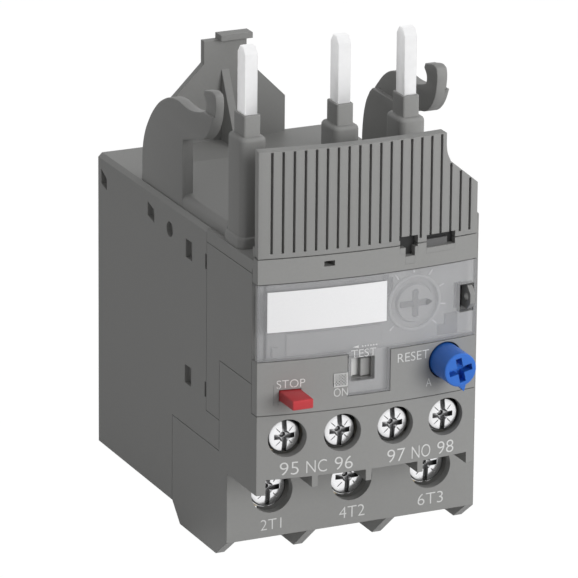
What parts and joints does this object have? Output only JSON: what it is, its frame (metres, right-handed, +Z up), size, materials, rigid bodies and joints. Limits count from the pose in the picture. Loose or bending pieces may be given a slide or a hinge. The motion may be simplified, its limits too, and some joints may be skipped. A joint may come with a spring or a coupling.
{
  "type": "thermal overload relay",
  "caption": "Plug-in thermal overload relay for a contactor, with connection pins, latch hooks, clear setting window, reset and stop buttons.",
  "frame": {"origin": "centre of the relay's bounding box in plan, at the level of its lowest rib", "axes": "+Z up along the connection pins, -Y out of the front with the screws and buttons, +X to the right seen from the front, along the width"},
  "size_m": [0.045, 0.0722, 0.0895],
  "materials": {
    "housing": "fine-grained dark grey moulding",
    "panel": "fine-grained dark grey moulding",
    "clear": "clear polycarbonate",
    "label": "white paper",
    "blue": "blue moulding",
    "red": "red moulding",
    "dial": "light grey moulding",
    "light": "off-white moulding",
    "pin": "tin-plated copper",
    "screw": "zinc-plated steel",
    "contact": "brass strip",
    "steel": "spring steel",
    "inner": "natural moulding"
  },
  "bodies": {
    "housing": {"rear_housing": "housing", "terminal_block": "housing", "control_panel": "panel", "side_cover": "housing", "latch_cover": "housing", "pin_shroud": "housing", "ribbed_cover": "housing", "lever_pin": "steel", "aux_plate_1": "contact", "aux_plate_2": "contact", "aux_plate_3": "contact", "aux_plate_4": "contact", "load_terminal_1": "contact", "heater_1": "steel", "bimetal_1": "steel", "phase_conductor_1": "pin", "load_terminal_2": "contact", "heater_2": "steel", "bimetal_2": "steel", "phase_conductor_2": "pin", "load_terminal_3": "contact", "heater_3": "steel", "bimetal_3": "steel", "phase_conductor_3": "pin", "reset_spring": "steel", "stop_spring": "steel", "test_spring": "steel"},
    "window": {"window": "clear", "marker_label": "label"},
    "setting_dial": {"setting_dial": "dial"},
    "reset_plunger": {"reset_plunger": "inner"},
    "reset_knob": {"reset_knob": "blue"},
    "stop_button": {"stop_button": "red"},
    "test_slider": {"test_slider": "light"},
    "trip_slide": {"trip_slide": "inner"},
    "trip_lever": {"trip_lever": "inner", "trip_flag": "light"},
    "contact_carrier": {"contact_carrier": "inner"},
    "nc_contact_arm": {"nc_contact_arm": "contact"},
    "no_contact_arm": {"no_contact_arm": "contact"},
    "main_screw_1": {"main_screw_1": "screw"},
    "main_clamp_1": {"main_clamp_1": "screw"},
    "main_screw_2": {"main_screw_2": "screw"},
    "main_clamp_2": {"main_clamp_2": "screw"},
    "main_screw_3": {"main_screw_3": "screw"},
    "main_clamp_3": {"main_clamp_3": "screw"},
    "aux_clamp_1": {"aux_clamp_1": "screw"},
    "aux_screw_1": {"aux_screw_1": "screw"},
    "aux_clamp_2": {"aux_clamp_2": "screw"},
    "aux_screw_2": {"aux_screw_2": "screw"},
    "aux_clamp_3": {"aux_clamp_3": "screw"},
    "aux_screw_3": {"aux_screw_3": "screw"},
    "aux_clamp_4": {"aux_clamp_4": "screw"},
    "aux_screw_4": {"aux_screw_4": "screw"}
  },
  "joints": [
    {"name": "window_hinge", "type": "hinge", "parent": "housing", "child": "window", "pos_m": [-0.0213, -0.02793, 0.0457], "axis": [0, 0, -1], "range_deg": [0, 85]},
    {"name": "dial_turn", "type": "hinge", "parent": "housing", "child": "setting_dial", "pos_m": [0.0052, -0.02823, 0.0458], "axis": [0, 1, 0], "range_deg": [-135, 135]},
    {"name": "reset_press", "type": "slide", "parent": "housing", "child": "reset_plunger", "axis": [0, 1, 0], "range_m": [0, 0.002], "stiffness_N_per_m": 600, "springref_m": -0.0015, "deforming": ["reset_spring"]},
    {"name": "reset_knob_turn", "type": "hinge", "parent": "reset_plunger", "child": "reset_knob", "pos_m": [0.0102, -0.03123, 0.0358], "axis": [0, 1, 0], "range_deg": [0, 90]},
    {"name": "stop_press", "type": "slide", "parent": "housing", "child": "stop_button", "axis": [0, 1, 0], "range_m": [0, 0.0015], "stiffness_N_per_m": 600, "springref_m": -0.0015, "deforming": ["stop_spring"]},
    {"name": "test_push", "type": "slide", "parent": "housing", "child": "test_slider", "axis": [-1, 0, 0], "range_m": [0, 0.001], "stiffness_N_per_m": 400, "springref_m": -0.0015, "deforming": ["test_spring"]},
    {"name": "trip_slide_travel", "type": "slide", "parent": "housing", "child": "trip_slide", "axis": [1, 0, 0], "range_m": [0, 0.0008]},
    {"name": "trip_lever_turn", "type": "hinge", "parent": "housing", "child": "trip_lever", "pos_m": [0.006, -0.00123, 0.0422], "axis": [0, 0, -1], "range_deg": [0, 8.4]},
    {"name": "carrier_travel", "type": "slide", "parent": "housing", "child": "contact_carrier", "axis": [0, 1, 0], "range_m": [0, 0.00132]},
    {"name": "nc_contact_open", "type": "hinge", "parent": "housing", "child": "nc_contact_arm", "pos_m": [-0.01745, -0.01873, 0.0388], "axis": [0, 0, 1], "range_deg": [0, 12.2]},
    {"name": "no_contact_close", "type": "hinge", "parent": "housing", "child": "no_contact_arm", "pos_m": [0.01045, -0.01873, 0.0388], "axis": [0, 0, -1], "range_deg": [0, 12.2]},
    {"name": "main_clamp_1_travel", "type": "slide", "parent": "housing", "child": "main_clamp_1", "axis": [0, -1, 0], "range_m": [0, 0.0042]},
    {"name": "main_screw_1_turn", "type": "hinge", "parent": "housing", "child": "main_screw_1", "pos_m": [-0.0144, -0.01223, 0.0122], "axis": [0, 1, 0], "range_deg": [0, 2161]},
    {"name": "main_clamp_2_travel", "type": "slide", "parent": "housing", "child": "main_clamp_2", "axis": [0, -1, 0], "range_m": [0, 0.0042]},
    {"name": "main_screw_2_turn", "type": "hinge", "parent": "housing", "child": "main_screw_2", "pos_m": [0, -0.01223, 0.0122], "axis": [0, 1, 0], "range_deg": [0, 2161]},
    {"name": "main_clamp_3_travel", "type": "slide", "parent": "housing", "child": "main_clamp_3", "axis": [0, -1, 0], "range_m": [0, 0.0042]},
    {"name": "main_screw_3_turn", "type": "hinge", "parent": "housing", "child": "main_screw_3", "pos_m": [0.0144, -0.01223, 0.0122], "axis": [0, 1, 0], "range_deg": [0, 2161]},
    {"name": "aux_clamp_1_travel", "type": "slide", "parent": "housing", "child": "aux_clamp_1", "axis": [0, 1, 0], "range_m": [0, 0.0035]},
    {"name": "aux_screw_1_turn", "type": "hinge", "parent": "aux_clamp_1", "child": "aux_screw_1", "pos_m": [-0.01745, -0.02756, 0.026], "axis": [0, 1, 0], "range_deg": [0, 2521]},
    {"name": "aux_clamp_2_travel", "type": "slide", "parent": "housing", "child": "aux_clamp_2", "axis": [0, 1, 0], "range_m": [0, 0.0035]},
    {"name": "aux_screw_2_turn", "type": "hinge", "parent": "aux_clamp_2", "child": "aux_screw_2", "pos_m": [-0.00815, -0.02864, 0.026], "axis": [0, 1, 0], "range_deg": [0, 2521]},
    {"name": "aux_clamp_3_travel", "type": "slide", "parent": "housing", "child": "aux_clamp_3", "axis": [0, 1, 0], "range_m": [0, 0.0035]},
    {"name": "aux_screw_3_turn", "type": "hinge", "parent": "aux_clamp_3", "child": "aux_screw_3", "pos_m": [0.00115, -0.02893, 0.026], "axis": [0, 1, 0], "range_deg": [0, 2521]},
    {"name": "aux_clamp_4_travel", "type": "slide", "parent": "housing", "child": "aux_clamp_4", "axis": [0, 1, 0], "range_m": [0, 0.0035]},
    {"name": "aux_screw_4_turn", "type": "hinge", "parent": "aux_clamp_4", "child": "aux_screw_4", "pos_m": [0.01045, -0.02844, 0.026], "axis": [0, 1, 0], "range_deg": [0, 2521]}
  ],
  "couplings": [
    {"joint": "trip_lever_turn", "follows": "trip_slide_travel", "rad_per_m": 181.82},
    {"joint": "carrier_travel", "follows": "trip_slide_travel", "ratio": 1.6364},
    {"joint": "nc_contact_open", "follows": "trip_slide_travel", "rad_per_m": 264},
    {"joint": "no_contact_close", "follows": "trip_slide_travel", "rad_per_m": 264},
    {"joint": "main_screw_1_turn", "follows": "main_clamp_1_travel", "rad_per_m": 8976},
    {"joint": "main_screw_2_turn", "follows": "main_clamp_2_travel", "rad_per_m": 8976},
    {"joint": "main_screw_3_turn", "follows": "main_clamp_3_travel", "rad_per_m": 8976},
    {"joint": "aux_screw_1_turn", "follows": "aux_clamp_1_travel", "rad_per_m": 12566},
    {"joint": "aux_screw_2_turn", "follows": "aux_clamp_2_travel", "rad_per_m": 12566},
    {"joint": "aux_screw_3_turn", "follows": "aux_clamp_3_travel", "rad_per_m": 12566},
    {"joint": "aux_screw_4_turn", "follows": "aux_clamp_4_travel", "rad_per_m": 12566}
  ]
}
